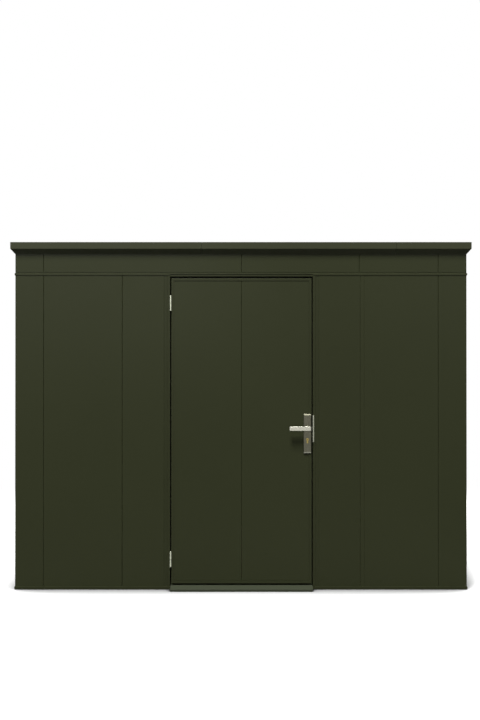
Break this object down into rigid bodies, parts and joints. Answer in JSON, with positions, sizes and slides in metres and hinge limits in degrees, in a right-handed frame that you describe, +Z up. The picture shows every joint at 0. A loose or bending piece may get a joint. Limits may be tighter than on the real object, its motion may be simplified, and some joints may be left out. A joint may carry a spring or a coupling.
{
  "type": "garden tool shed with a flat roof and one hinged door",
  "caption": "Flush-panel garden tool shed in dark olive green with a flat crown-trimmed roof, an outward-opening door, lever handle and lift-off hinges.",
  "frame": {"origin": "centre of the walls' plan at ground level, under the middle of the shed", "axes": "+X to the right as seen from the front, +Y to the rear, +Z up; the door is in the front wall, towards -Y"},
  "size_m": [2.988, 2.414, 2.254],
  "materials": {
    "panel_green": "satin-matt dark olive green coating on flat steel-faced panels",
    "trim_green": "satin-matt dark olive green coating on folded and extruded profiles",
    "threshold_grey": "matt grey-green coating",
    "satin_steel": "satin brushed",
    "lock_brass": "satin",
    "roof_covering": "matt black sheet",
    "roof_deck": "satin-matt dark olive green coating"
  },
  "bodies": {
    "shed": {"base_profile_front": "trim_green", "base_profile_left": "trim_green", "base_profile_rear": "trim_green", "base_profile_right": "trim_green", "belt_front": "trim_green", "belt_left": "trim_green", "belt_rear": "trim_green", "belt_right": "trim_green", "corner_panel_front_left": "panel_green", "corner_panel_front_right": "panel_green", "corner_panel_rear_left": "panel_green", "corner_panel_rear_right": "panel_green", "crown_front": "trim_green", "crown_left": "trim_green", "crown_rear": "trim_green", "crown_right": "trim_green", "door_frame_head": "trim_green", "door_frame_left_jamb": "trim_green", "door_frame_right_jamb": "trim_green", "front_panel_far_left": "panel_green", "front_panel_far_right": "panel_green", "front_panel_left": "panel_green", "front_panel_right": "panel_green", "header_corners": "panel_green", "header_front": "panel_green", "header_left": "panel_green", "header_rear": "panel_green", "header_right": "panel_green", "hinge_frame_halves": "satin_steel", "left_wall_panels": "panel_green", "rear_wall_panels": "panel_green", "right_wall_panels": "panel_green", "roof_membrane": "roof_covering", "roof_panels": "roof_deck", "strike_plate": "satin_steel", "threshold": "threshold_grey"},
    "door": {"door_boards": "panel_green", "door_edge_frame": "trim_green", "hinge_door_halves": "satin_steel", "lock_faceplate": "satin_steel", "outside_plate": "satin_steel", "inside_plate": "satin_steel", "lock_cylinder": "lock_brass"},
    "lever": {"outside_lever": "satin_steel", "inside_lever": "satin_steel"}
  },
  "joints": [
    {"name": "door_hinge", "type": "hinge", "parent": "shed", "child": "door", "pos_m": [-0.4563, -1.1705, 0], "axis": [0, 0, -1], "range_deg": [0, 110]},
    {"name": "lever_turn", "type": "hinge", "parent": "door", "child": "lever", "pos_m": [0.4316, -1.164, 1.047], "axis": [0, -1, 0], "range_deg": [0, 40], "stiffness_Nm_per_rad": 0.8, "springref_deg": -34.38}
  ]
}
